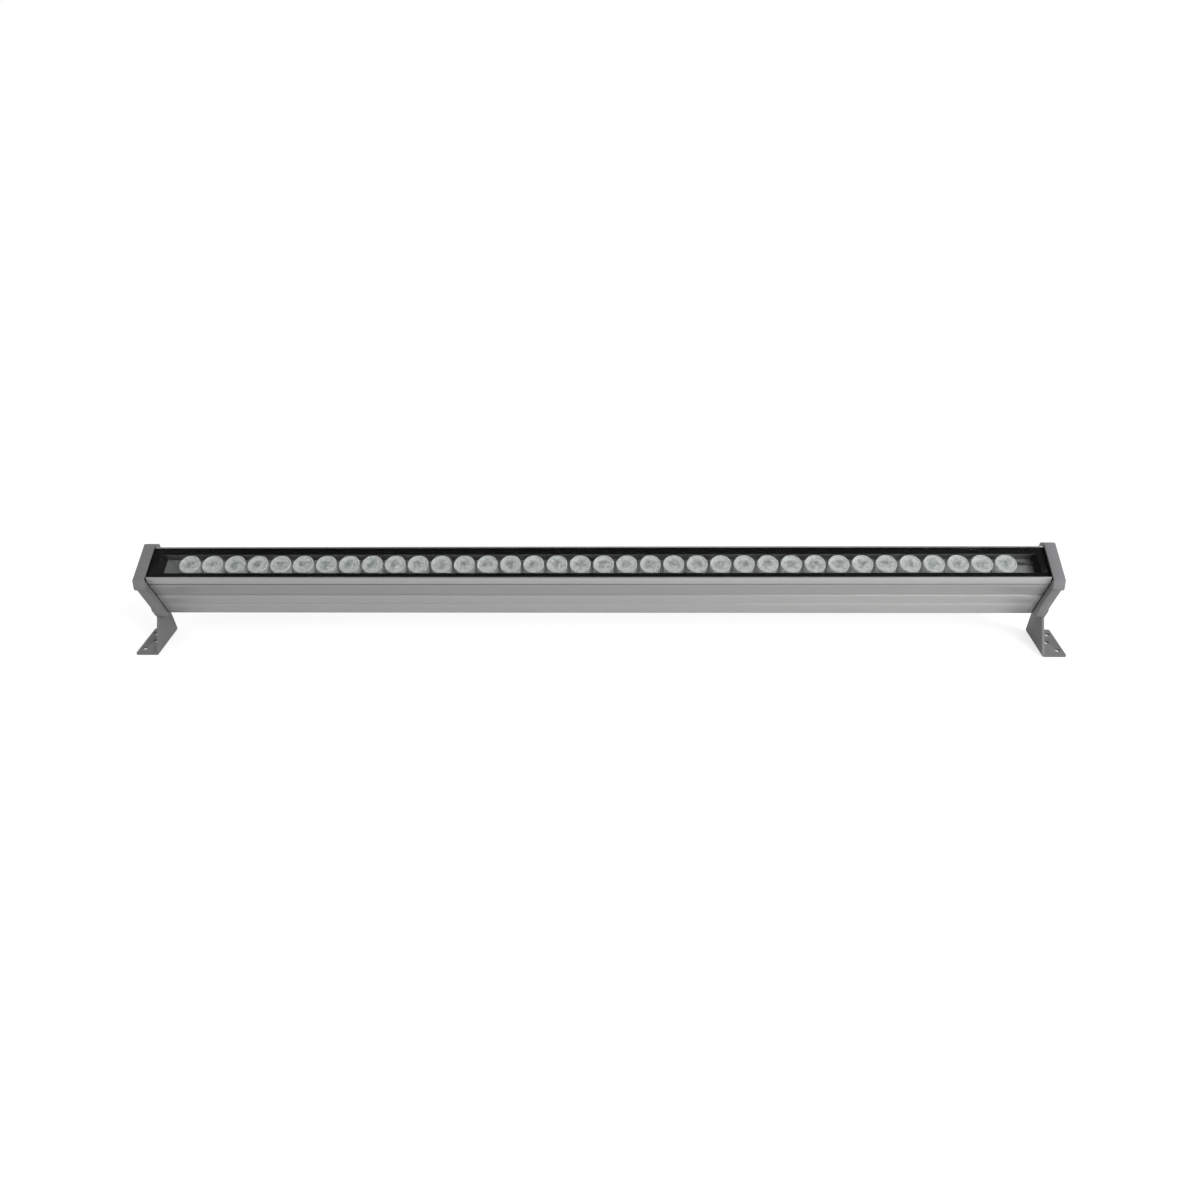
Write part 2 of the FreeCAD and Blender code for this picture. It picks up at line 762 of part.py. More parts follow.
def make_bolts():
    """Hexagon-headed pivot bolts, screwed into the caps through the brackets."""
    head = hex_prism(bolt_head_width, (bolt_head_inner_x, 0, 0), ALONG, bolt_head_height)
    tip_x = cap_face_x - bolt_reach_in_cap
    shank = rod(bolt_radius, (tip_x, 0, 0), ALONG, bolt_head_inner_x - tip_x)
    return both_sides(head.fuse(shank).removeSplitter())


def make_friction_washers():
    bore = bolt_radius + washer_clearance
    return both_sides(washer(cap_face_x, friction_washer_thickness, friction_washer_radius, bore))


def make_flat_washers():
    bore = bolt_radius + washer_clearance
    return both_sides(washer(flat_washer_inner_x, flat_washer_thickness, flat_washer_radius, bore))


def make_spring_washers():
    """Split lock washers, drawn pressed flat."""
    start_x = spring_washer_inner_x
    ring = washer(start_x, spring_washer_thickness, spring_washer_radius, spring_washer_bore_radius)
    slot_sides = (-spring_washer_slot / 2, spring_washer_slot / 2)
    slot = box((spring_washer_inner_x, bolt_head_inner_x), slot_sides, (0, spring_washer_radius))
    return both_sides(ring.cut(slot))


# ---- brackets ----
def bracket_strip():
    """The bent strip before its sides are trimmed: a foot, a bend and a leg, full depth."""
    bend_outer_radius = bend_inner_radius + bracket_thickness
    bend_x = leg_inner_x + bend_outer_radius
    bend_z = bend_outer_radius
    top = pivot_height + bracket_hub_radius

    def arc(radius):
        half_turn = math.sqrt(0.5)
        start = FreeCAD.Vector(bend_x, 0, bend_z - radius)
        middle = FreeCAD.Vector(bend_x - radius * half_turn, 0, bend_z - radius * half_turn)
        end = FreeCAD.Vector(bend_x - radius, 0, bend_z)
        return start, middle, end

    outer, inner = arc(bend_outer_radius), arc(bend_inner_radius)
    foot_low = FreeCAD.Vector(foot_outer_x, 0, 0)
    foot_high = FreeCAD.Vector(foot_outer_x, 0, bracket_thickness)
    leg_outer = FreeCAD.Vector(leg_inner_x, 0, top)
    leg_inner = FreeCAD.Vector(leg_outer_x, 0, top)
    edges = [
        Part.LineSegment(foot_low, outer[0]).toShape(),
        Part.Arc(*outer).toShape(),
        Part.LineSegment(outer[2], leg_outer).toShape(),
        Part.LineSegment(leg_outer, leg_inner).toShape(),
        Part.LineSegment(leg_inner, inner[2]).toShape(),
        Part.Arc(*reversed(inner)).toShape(),
        Part.LineSegment(inner[0], foot_high).toShape(),
        Part.LineSegment(foot_high, foot_low).toShape(),
    ]
    section = Part.Face(Part.Wire(edges)).translated(FreeCAD.Vector(0, -foot_half_depth, 0))
    return section.extrude(ACROSS * (2 * foot_half_depth))


def leg_outline_prism():
    """The bracket seen from its end: a wide foot, a leg cut back on the near side, a round hub."""
    near, far = pivot_setback - bracket_hub_radius, pivot_setback + bracket_hub_radius
    outline = [(far, pivot_height), (foot_half_depth, leg_shoulder_height)]
    outline += [(foot_half_depth, 0), (-foot_half_depth, 0), (-foot_half_depth, leg_shoulder_height)]
    outline += [(near, leg_waist_height), (near, pivot_height)]
    corners = [FreeCAD.Vector(0, across, height) for across, height in outline]
    crown = FreeCAD.Vector(0, pivot_setback, pivot_height + bracket_hub_radius)
    edges = [Part.LineSegment(first, second).toShape() for first, second in zip(corners, corners[1:])]
    edges.append(Part.Arc(corners[-1], crown, corners[0]).toShape())
    return Part.Face(Part.Wire(edges)).extrude(ALONG * (2 * foot_outer_x))


def make_bracket():
    """The right-hand bracket."""
    bracket = bracket_strip().common(leg_outline_prism())
    corners = [
        edge for edge in bracket.Edges
        if edge.BoundBox.XMin > foot_outer_x - 0.01 and edge.BoundBox.ZLength > bracket_thickness / 2
    ]
    bracket = bracket.makeFillet(foot_corner_radius, corners)
    hub_start = (leg_inner_x, pivot_setback, pivot_height)
    holes = [rod(bolt_radius + pivot_running_clearance, hub_start, ALONG, bracket_thickness)]
    for edge_gap, across in foot_hole_places():
        holes.append(rod(foot_hole_radius, (foot_outer_x - edge_gap, across, 0), UP, bracket_thickness))
    return bracket.cut(holes)


def foot_hole_places():
    half_spacing = outer_hole_spacing / 2
    return [(outer_hole_edge, -half_spacing), (outer_hole_edge, half_spacing), (middle_hole_edge, 0)]


# ---- the sub-parts by name ----
def head_parts():
    cap, cap_gasket, cap_screws = make_cap(), make_cap_gasket(), make_cap_screws()
    parts = {
        "housing_extrusion": make_housing(),
        "glass_cover": make_glass(),
        "glass_gasket": make_glass_gasket(),
        "chamber_end_plugs": make_end_plugs(),
        "board_screws": make_board_screws(),
        "board_link_wires": make_link_wires(),
        "board_lead": make_board_lead(),
        "web_grommet": make_web_grommet(),
        "driver_case": make_driver_case(),
        "driver_cover": make_driver_cover(),
        "driver_board": make_driver_board(),
        "driver_transformer": make_transformer(),
        "driver_capacitors": make_capacitors(),
        "driver_foam_stop": make_driver_foam(),
        "terminal_block": make_terminal_block(),
        "terminal_screws": make_terminal_screws(),
        "driver_input_leads": make_input_leads(),
        "earth_lead": make_earth_lead(),
        "earth_lug": make_earth_lug(),
        "earth_screw": make_earth_screw(),
        "gland_body": make_gland_body(),
        "gland_ring": make_gland_ring(),
        "gland_seal": make_gland_seal(),
        "gland_nut": make_gland_nut(),
        "gland_lock_nut": make_gland_lock_nut(),
        "end_cap_right": [cap],
        "end_cap_left": [other_side(cap)],
        "cap_gasket_right": [cap_gasket],
        "cap_gasket_left": [other_side(cap_gasket)],
        "cap_screws_right": cap_screws,
        "cap_screws_left": [other_side(screw) for screw in cap_screws],
        "pivot_bolts": make_bolts(),
        "pivot_friction_washers": make_friction_washers(),
        "pivot_flat_washers": make_flat_washers(),
        "pivot_spring_washers": make_spring_washers(),
    }
    for name, side in (("left", -1), ("right", 1)):
        parts["led_board_" + name] = make_board(side)
        parts["led_emitters_" + name] = in_row(make_emitter(), side)
        parts["lens_row_" + name] = in_row(make_lens(), side)
    return parts


def main():
    os.makedirs("parts", exist_ok=True)
    parts = {name: lean(solids) for name, solids in head_parts().items()}
    bracket = make_bracket()
    parts["bracket_right"] = [bracket]
    parts["bracket_left"] = [other_side(bracket)]
    for name, solids in parts.items():
        shape = solids[0] if len(solids) == 1 else Part.makeCompound(solids)
        shape.exportStep("parts/" + name + ".step")
        volume = sum(solid.Volume for solid in solids)
        print(name, len(solids), "solids", round(volume / 1000, 2), "cm3", "valid", shape.isValid())


main()
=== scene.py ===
import json
import math

import bmesh
import bpy
from mathutils import Matrix, Vector


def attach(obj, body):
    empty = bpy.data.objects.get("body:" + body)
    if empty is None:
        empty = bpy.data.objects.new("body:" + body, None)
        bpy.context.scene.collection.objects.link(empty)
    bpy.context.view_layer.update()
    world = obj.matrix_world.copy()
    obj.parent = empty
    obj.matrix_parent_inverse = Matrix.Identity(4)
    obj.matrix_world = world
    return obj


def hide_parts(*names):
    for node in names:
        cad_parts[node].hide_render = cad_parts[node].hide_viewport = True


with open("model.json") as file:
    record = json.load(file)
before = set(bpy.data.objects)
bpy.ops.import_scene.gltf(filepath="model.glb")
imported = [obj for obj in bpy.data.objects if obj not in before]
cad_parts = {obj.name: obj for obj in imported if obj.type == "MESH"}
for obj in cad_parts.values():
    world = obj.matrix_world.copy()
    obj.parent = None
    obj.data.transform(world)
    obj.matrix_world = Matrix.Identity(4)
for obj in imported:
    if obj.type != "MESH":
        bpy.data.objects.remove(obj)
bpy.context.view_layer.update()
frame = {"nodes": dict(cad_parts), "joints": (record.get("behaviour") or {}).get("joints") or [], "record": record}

MM = 0.001
WHITE = (1.0, 1.0, 1.0, 1.0)

# ---- camera, fitted to the photograph (1200 x 1200), in metres ----
CAMERA_PLACE = Vector((0.0466, -0.9364, 0.6183))
CAMERA_YAW = math.radians(-2.38)
CAMERA_PITCH = math.radians(30.88)
CAMERA_ROLL = math.radians(-1.2)
IMAGE_WIDTH = 1200
FOCAL_PIXELS = 973
SENSOR_WIDTH = 36.0

# ---- the head's own axes (x, across, height), read from the frame ----
mounts = {mount["name"]: mount for mount in frame["record"]["mounts"]}
joints = {joint["name"]: joint for joint in frame["joints"]}
downward = mounts["cable_entry"]["axis"]
HEAD_LEAN = math.atan2(downward[1], -downward[2])
PIVOT = Vector((0.0, *joints["head_tilt"]["pos_m"][1:]))
HEAD_TO_FRAME = Matrix.Translation(PIVOT) @ Matrix.Rotation(HEAD_LEAN, 4, "X")
FRAME_TO_HEAD = HEAD_TO_FRAME.inverted()
HEAD_ACROSS = Vector((0.0, math.cos(HEAD_LEAN), math.sin(HEAD_LEAN)))
HEAD_UP = Vector((0.0, -math.sin(HEAD_LEAN), math.cos(HEAD_LEAN)))

# ---- how finely shapes are made ----
MERGE_DISTANCE = 0.002 * MM
SPUN_MERGE_DISTANCE = 0.01 * MM
SHELL_GAP = 0.001 * MM  # between two closed shells of one piece
LEVEL_TOLERANCE = 0.001 * MM
ROUND_SIDES = 32
LENS_SIDES = 48
HEXAGON_SIDES = 6
SCREW_HEAD_SIDES = 8 * HEXAGON_SIDES  # so that the socket's corners fall on corners of the head
ARC_STEPS = 6
FLAT_ANGLE = math.radians(1)  # faces that turn by less are joined
SHARP_ANGLE = math.radians(25)  # edges that turn by more are rounded
SMOOTH_ANGLE = math.radians(32)  # edges that turn by less are shaded smooth

# ---- lenses and emitters ----
LENS_FOOT_INSET = 1.2 * MM
LENS_FOOT_HEIGHT = 2.5 * MM
LENS_RIM = 0.5 * MM
LENS_RING_WIDTH = 1.6 * MM  # from the side to the edge of the dish
LENS_DISH_DEPTH = 0.9 * MM
LENS_DISH_SLOPE = 0.5 * MM
LENS_BUTTON_RADIUS = 5.0 * MM
LENS_BUTTON_RISE = 0.8 * MM
LENS_HOLLOW_RADIUS = 4.0 * MM
LENS_HOLLOW_TOP_RADIUS = 3.4 * MM
LENS_HOLLOW_SIDE = 5.0 * MM
LENS_HOLLOW_DOME = 1.6 * MM
EMITTER_DOME_RADIUS = 1.35 * MM
EMITTER_BASE_ROUND = 0.15 * MM

# ---- screws and bolts ----
CAP_SCREW_HEAD_HEIGHT = 2.4 * MM
CAP_SCREW_HEAD_ROUND = 0.35 * MM
CAP_SCREW_SHANK_RADIUS = 1.75 * MM
CAP_SCREW_SOCKET_WIDTH = 3.0 * MM
CAP_SCREW_SOCKET_DEPTH = 1.4 * MM
SOCKET_INSET = 0.3 * MM  # ring that is made before the socket gets its six sides
PIVOT_BOLT_RADIUS = 3.0 * MM
PIVOT_BOLT_HEAD_CHAMFER = 0.6 * MM
PIVOT_BOLT_TIP_CHAMFER = 0.5 * MM

# ---- grain ----
BROAD_GRAIN_SCALE = 0.04  # against the scale of the fine grain

# ---- colours and painted shade of the housing ----
PANEL_COLOR = (0.455, 0.46, 0.453)
# painted shade: the upper band below the lip is darkened in the colour, standing in for the lip's shade
UPPER_BAND_START = 9.7 * MM  # below the housing's rim
UPPER_BAND_END = 30.7 * MM
UPPER_BAND_SHADE = 0.82  # against the panel's colour
# painted shade in the lens chamber: grey on the walls beside the lenses, dark above them where the gasket shades
# the wall
CHAMBER_MARGIN = 0.15 * MM  # round the box of the end plugs
CHAMBER_SHADE_DEPTH = 2.5 * MM  # above the lenses, where the walls go from grey to dark
CHAMBER_HALF_SHADE = (0.27, 0.275, 0.275, 1.0)
CHAMBER_DEEP_SHADE = (0.03, 0.031, 0.031, 1.0)

# ---- colours and marks of the lenses: painted light, pale at the rim and darker on the axis ----
# painted light: a darker axis and a pale rim stand in for the light the lenses refract and mirror
LENS_AXIS_PAINTED_SHADE = (0.42, 0.46, 0.44, 1.0)
LENS_RIM_PAINTED_LIGHT = (0.98, 1.0, 0.99, 1.0)
LENS_PALE_START = 0.1  # share of the radius
LENS_PALE_END = 0.75
LENS_AXIS_PALENESS = 0.1
LENS_MARK_SCALE = 260.0
LENS_MARK_RANGE = (0.38, 0.62)  # noise that gives the darkest and the palest marks
LENS_MARK_DEPTH = 0.35

# ---- rounds along the edges ----
END_CAP_ROUND = 0.5 * MM
BRACKET_ROUND = 0.35 * MM
HEAD_NODE_ROUNDS = {
    "housing_extrusion": 0.2 * MM,
    "chamber_end_plugs": 0.3 * MM,
    "board_screws": 0.4 * MM,
    "driver_case": 0.3 * MM,
    "driver_cover": 0.3 * MM,
    "driver_transformer": 0.8 * MM,
    "driver_capacitors": 0.6 * MM,
    "terminal_block": 0.3 * MM,
    "earth_lug": 0.1 * MM,
    "gland_body": 0.3 * MM,
    "gland_nut": 0.4 * MM,
    "gland_lock_nut": 0.3 * MM,
    "pivot_flat_washers": 0.15 * MM,
}


# ---- places, read from the CAD nodes ----
def corner_box(points):
    low = Vector([min(point[axis] for point in points) for axis in range(3)])
    high = Vector([max(point[axis] for point in points) for axis in range(3)])
    return low, high


def middle(low, high):
    return (low + high) / 2


def head_box(node):
    """Lowest and highest corners of a CAD node along the head's own axes."""
    return corner_box([FRAME_TO_HEAD @ vertex.co for vertex in frame["nodes"][node].data.vertices])


def merged_copy(node):
    """A bmesh of a CAD node with its loose triangles joined."""
    maker = bmesh.new()
    maker.from_mesh(frame["nodes"][node].data)
    bmesh.ops.remove_doubles(maker, verts=maker.verts, dist=MERGE_DISTANCE)
    return maker


def take_solid(first, waiting):
    """The vertices joined to the first one, taken out of those that still wait."""
    waiting.remove(first)
    reached = [first]
    for vertex in reached:
        for edge in vertex.link_edges:
            neighbour = edge.other_vert(vertex)
            if neighbour in waiting:
                waiting.remove(neighbour)
                reached.append(neighbour)
    return reached


def head_solids(node):
    """The separate solids of a CAD node, each as its lowest and highest corners in the head's axes."""
    maker = merged_copy(node)
    bmesh.ops.transform(maker, matrix=FRAME_TO_HEAD, verts=maker.verts)
    waiting = set(maker.verts)
    boxes = []
    for vertex in maker.verts:
        if vertex in waiting:
            solid = take_solid(vertex, waiting)
            boxes.append(corner_box([corner.co.copy() for corner in solid]))
    maker.free()
    return boxes


# ---- node helpers ----
def connect(tree, value, socket):
    """Link a socket's value, or set a plain one."""
    if isinstance(value, bpy.types.NodeSocket):
        tree.links.new(value, socket)
    else:
        socket.default_value = value


def add_node(tree, kind, **values):
    node = tree.nodes.new(kind)
    for name, value in values.items():
        connect(tree, value, node.inputs[name.replace("_", " ")])
    return node


def maths(tree, operation, first, second=0.0, clamp=False):
    node = tree.nodes.new("ShaderNodeMath")
    node.operation = operation
    node.use_clamp = clamp
    connect(tree, first, node.inputs[0])
    connect(tree, second, node.inputs[1])
    return node.outputs[0]


def vector_maths(tree, operation, first, second=(0.0, 0.0, 0.0)):
    """A vector, or the number that a length or a dot product gives."""
    node = tree.nodes.new("ShaderNodeVectorMath")
    node.operation = operation
    connect(tree, first, node.inputs[0])
    connect(tree, second, node.inputs[1])
    return node.outputs["Value" if operation in ("LENGTH", "DOT_PRODUCT") else "Vector"]


def scale_color(tree, color, gain):
    node = tree.nodes.new("ShaderNodeVectorMath")
    node.operation = "SCALE"
    connect(tree, color, node.inputs[0])
    connect(tree, gain, node.inputs["Scale"])
    return node.outputs["Vector"]


def map_range(tree, value, from_low, from_high, to_low, to_high):
    node = tree.nodes.new("ShaderNodeMapRange")
    limits = (value, from_low, from_high, to_low, to_high)
    for socket, limit in zip(node.inputs, limits):
        connect(tree, limit, socket)
    return node.outputs[0]


def mix_colors(tree, factor, first, second):
    node = tree.nodes.new("ShaderNodeMix")
    node.data_type = "RGBA"
    colors = [socket for socket in node.inputs if socket.type == "RGBA"]
    connect(tree, factor, node.inputs[0])
    connect(tree, first, colors[0])
    connect(tree, second, colors[1])
    return next(socket for socket in node.outputs if socket.type == "RGBA")


def new_group(name, inputs, outputs):
    """A node group with its named inputs and outputs, and the nodes where they enter and leave."""
    group = bpy.data.node_groups.new(name, "ShaderNodeTree")
    for label, (kind, default) in inputs.items():
        socket = group.interface.new_socket(label, in_out="INPUT", socket_type="NodeSocket" + kind)
        socket.default_value = default
    for label, kind in outputs.items():
        group.interface.new_socket(label, in_out="OUTPUT", socket_type="NodeSocket" + kind)
    entry = group.nodes.new("NodeGroupInput")
    leave = group.nodes.new("NodeGroupOutput")
    return group, entry, leave


def object_place(tree):
    return tree.nodes.new("ShaderNodeTexCoord").outputs["Object"]


def grain_group():
    """Fine even grain: shifts a colour and a roughness a little, and gives a height."""
    inputs = {
        "Color": ("Color", (0.5, 0.5, 0.5, 1.0)),
        "Roughness": ("Float", 0.5),
        "Size": ("Float", 0.001),
        "Color Shift": ("Float", 0.05),
        "Roughness Shift": ("Float", 0.05),
    }
    outputs = {"Color": "Color", "Roughness": "Float", "Height": "Float"}
    group, entry, leave = new_group("fine_grain", inputs, outputs)
    place = object_place(group)
    scale = maths(group, "DIVIDE", 1.0, entry.outputs["Size"])
    broad_scale = maths(group, "MULTIPLY", scale, BROAD_GRAIN_SCALE)
    fine = add_node(group, "ShaderNodeTexNoise", Vector=place, Scale=scale, Detail=3.0, Roughness=0.6)
    broad = add_node(group, "ShaderNodeTexNoise", Vector=place, Scale=broad_scale, Detail=2.0)
    mixed = maths(group, "ADD", fine.outputs["Fac"], broad.outputs["Fac"])
    centred = maths(group, "SUBTRACT", mixed, 1.0)
    gain = maths(group, "ADD", maths(group, "MULTIPLY", centred, entry.outputs["Color Shift"]), 1.0)
    shaded = scale_color(group, entry.outputs["Color"], gain)
    rough_shift = maths(group, "MULTIPLY", centred, entry.outputs["Roughness Shift"])
    rough = maths(group, "ADD", entry.outputs["Roughness"], rough_shift)
    group.links.new(shaded, leave.inputs["Color"])
    group.links.new(rough, leave.inputs["Roughness"])
    group.links.new(fine.outputs["Fac"], leave.inputs["Height"])
    return group


def drawn_lines_group():
    """Fine lines along X, as a die leaves on an extrusion or a brush on sheet metal."""
    inputs = {"Line Width": ("Float", 0.0004), "Line Length": ("Float", 0.3)}
    group, entry, leave = new_group("drawn_lines", inputs, {"Lines": "Float"})
    parts = add_node(group, "ShaderNodeSeparateXYZ", Vector=object_place(group))
    along = maths(group, "DIVIDE", parts.outputs["X"], entry.outputs["Line Length"])
    across = maths(group, "DIVIDE", parts.outputs["Y"], entry.outputs["Line Width"])
    upward = maths(group, "DIVIDE", parts.outputs["Z"], entry.outputs["Line Width"])
    stretched = add_node(group, "ShaderNodeCombineXYZ", X=along, Y=across, Z=upward)
    noise = add_node(group, "ShaderNodeTexNoise", Vector=stretched.outputs[0], Scale=1.0, Detail=4.0)
    group.links.new(noise.outputs["Fac"], leave.inputs["Lines"])
    return group


def along_axis(tree, axis):
    """Distance from the pivot line along one of the head's axes."""
    from_pivot = vector_maths(tree, "SUBTRACT", object_place(tree), PIVOT)
    return vector_maths(tree, "DOT_PRODUCT", from_pivot, axis)


def chamber_group():
    """1 between the walls of the lens chamber, from its floor to the glass, and 0 elsewhere: where the chamber's
    painted shade goes.
    """
    group, _, leave = new_group("lens_chamber", {}, {"Inside": "Float"})
    plug_low, plug_high = head_box("chamber_end_plugs")
    from_middle = maths(group, "ABSOLUTE", along_axis(group, HEAD_ACROSS))
    height = along_axis(group, HEAD_UP)
    between_walls = maths(group, "LESS_THAN", from_middle, plug_high.y + CHAMBER_MARGIN)
    above_floor = maths(group, "GREATER_THAN", height, plug_low.z - CHAMBER_MARGIN)
    below_glass = maths(group, "LESS_THAN", height, plug_high.z)
    at_height = maths(group, "MULTIPLY", above_floor, below_glass)
    chamber_shade_mask = maths(group, "MULTIPLY", between_walls, at_height)
    group.links.new(chamber_shade_mask, leave.inputs["Inside"])
    return group


def lens_light_group():
    """Painted light on the lenses: near 0 on a lens's axis and 1 towards its rim, broken up by faint blotches of
    noise.
    """
    group, _, leave = new_group("lens_rings", {}, {"Rim": "Float"})
    first, second = sorted(head_solids("lens_row_right"), key=lambda box: box[0].x)[:2]
    pitch = second[0].x - first[0].x
    radius = (first[1].x - first[0].x) / 2
    place = add_node(group, "ShaderNodeSeparateXYZ", Vector=object_place(group))
    from_first = maths(group, "SUBTRACT", place.outputs["X"], middle(*first).x)
    pitches = maths(group, "DIVIDE", from_first, pitch)
    from_nearest = maths(group, "SUBTRACT", pitches, maths(group, "ROUND", pitches))
    from_axis = maths(group, "MULTIPLY", from_nearest, pitch)
    flat = add_node(group, "ShaderNodeCombineXYZ", X=from_axis, Y=along_axis(group, HEAD_ACROSS))
    distance = vector_maths(group, "LENGTH", flat.outputs[0])
    start, end = LENS_PALE_START * radius, LENS_PALE_END * radius
    rim = map_range(group, distance, start, end, LENS_AXIS_PALENESS, 1.0)
    marks = add_node(
        group, "ShaderNodeTexNoise", Vector=object_place(group), Scale=LENS_MARK_SCALE, Detail=2.0
    )
    shift = map_range(group, marks.outputs["Fac"], *LENS_MARK_RANGE, -LENS_MARK_DEPTH, LENS_MARK_DEPTH)
    group.links.new(maths(group, "ADD", rim, shift, clamp=True), leave.inputs["Rim"])
    return group


GRAIN = grain_group()
LENS_PAINTED_LIGHT = lens_light_group()
DRAWN_LINES = drawn_lines_group()
CHAMBER_SHADE_GROUP = chamber_group()


def new_material(name):
    material = bpy.data.materials.new(name)
    material.use_nodes = True
    tree = material.node_tree
    return material, tree, tree.nodes["Principled BSDF"]


def place_group(tree, group, **values):
    node = tree.nodes.new("ShaderNodeGroup")
    node.node_tree = group
    for name, value in values.items():
        node.inputs[name.replace("_", " ")].default_value = value
    return node


def bump(tree, shader, height, distance, strength=1.0):
    node = add_node(tree, "ShaderNodeBump", Height=height, Distance=distance, Strength=strength)
    tree.links.new(node.outputs["Normal"], shader.inputs["Normal"])


def grained(
    name, color, roughness, size, color_shift=0.06, rough_shift=0.08, depth=0.0, metallic=0.0, shine=0.5
):
    """A material with fine grain in its colour, roughness and relief."""
    material, tree, shader = new_material(name)
    grain = place_group(
        tree, GRAIN, Color=(*color, 1.0), Roughness=roughness, Size=size,
        Color_Shift=color_shift, Roughness_Shift=rough_shift,
    )
    tree.links.new(grain.outputs["Color"], shader.inputs["Base Color"])
    tree.links.new(grain.outputs["Roughness"], shader.inputs["Roughness"])
    shader.inputs["Metallic"].default_value = metallic
    shader.inputs["Specular IOR Level"].default_value = shine
    if depth:
        bump(tree, shader, grain.outputs["Height"], depth)
    return material


def drawn_aluminium(name, color, roughness, line_width, line_depth, metallic=0.75):
    """Aluminium with fine lines along its length."""
    material = grained(name, color, roughness, 1.2 * MM, color_shift=0.05, metallic=metallic)
    tree = material.node_tree
    shader = tree.nodes["Principled BSDF"]
    lines = place_group(tree, DRAWN_LINES, Line_Width=line_width, Line_Length=0.4)
    bump(tree, shader, lines.outputs["Lines"], line_depth, strength=0.6)
    return material


def upper_band(tree):
    """1 at the height of the band below the groove of the side panels, where the panel gets painted shade, 0
    elsewhere.
    """
    rim_height = head_box("housing_extrusion")[1].z
    depth = maths(tree, "SUBTRACT", rim_height, along_axis(tree, HEAD_UP))
    below_start = maths(tree, "GREATER_THAN", depth, UPPER_BAND_START)
    above_end = maths(tree, "LESS_THAN", depth, UPPER_BAND_END)
    return maths(tree, "MULTIPLY", below_start, above_end)


def chamber_painted_shade(tree):
    """Painted shade on the chamber walls: grey beside the lenses, dark above them, where the gasket shades the
    wall.
    """
    lens_top = head_box("lens_row_right")[1].z
    shade = map_range(tree, along_axis(tree, HEAD_UP), lens_top, lens_top + CHAMBER_SHADE_DEPTH, 0.0, 1.0)
    return mix_colors(tree, shade, CHAMBER_HALF_SHADE, CHAMBER_DEEP_SHADE)


def housing_finish():
    """Satin anodising, with painted shade on the upper band below the lip and painted shade in the chamber behind
    the glass.
    """
    material = drawn_aluminium("satin_anodised_extrusion", PANEL_COLOR, 0.46, 0.5 * MM, 0.02 * MM)
    tree = material.node_tree
    shader = tree.nodes["Principled BSDF"]
    outer_color = shader.inputs["Base Color"].links[0].from_socket
    chamber_shade_mask = place_group(tree, CHAMBER_SHADE_GROUP).outputs["Inside"]
    # painted shade below the lip, on the upper band
    band_shade = scale_color(tree, outer_color, UPPER_BAND_SHADE)
    banded = mix_colors(tree, upper_band(tree), outer_color, band_shade)
    # painted shade inside the lens chamber
    shaded = mix_colors(tree, chamber_shade_mask, banded, chamber_painted_shade(tree))
    tree.links.new(shaded, shader.inputs["Base Color"])
    return material


def let_light_through(tree, shader, share):
    """Let a share of the light that falls on a surface pass straight on; the eye sees the shader alone."""
    rays = tree.nodes.new("ShaderNodeLightPath")
    light_rays = maths(tree, "MAXIMUM", rays.outputs["Is Shadow Ray"], rays.outputs["Is Diffuse Ray"])
    open_way = add_node(tree, "ShaderNodeBsdfTransparent", Color=WHITE)
    mix = tree.nodes.new("ShaderNodeMixShader")
    tree.links.new(maths(tree, "MULTIPLY", light_rays, share), mix.inputs[0])
    tree.links.new(shader.outputs[0], mix.inputs[1])
    tree.links.new(open_way.outputs[0], mix.inputs[2])
    tree.links.new(mix.outputs[0], tree.nodes["Material Output"].inputs["Surface"])


def clear_material(name, color, roughness, index, clearness, light_passed):
    """Glass or acrylic that lets light through to what lies behind it."""
    material, tree, shader = new_material(name)
    grain = place_group(
        tree, GRAIN, Color=(*color, 1.0), Roughness=roughness, Size=8 * MM,
        Color_Shift=0.01, Roughness_Shift=0.01,
    )
    tree.links.new(grain.outputs["Color"], shader.inputs["Base Color"])
    tree.links.new(grain.outputs["Roughness"], shader.inputs["Roughness"])
    shader.inputs["IOR"].default_value = index
    shader.inputs["Transmission Weight"].default_value = clearness
    let_light_through(tree, shader, light_passed)
    return material


def lens_finish():
    """Clear moulded acrylic with painted light: paler at the rim of each lens than on its axis."""
    material = clear_material(
        "moulded_acrylic", (0.97, 0.98, 0.97), roughness=0.08, index=1.49, clearness=0.58, light_passed=0.35
    )
    tree = material.node_tree
    shader = tree.nodes["Principled BSDF"]
    rim = place_group(tree, LENS_PAINTED_LIGHT).outputs["Rim"]
    # painted light: pale rim and darker axis in the colour of the clear acrylic
    shaded = mix_colors(tree, rim, LENS_AXIS_PAINTED_SHADE, LENS_RIM_PAINTED_LIGHT)
    tree.links.new(shaded, shader.inputs["Base Color"])
    return material


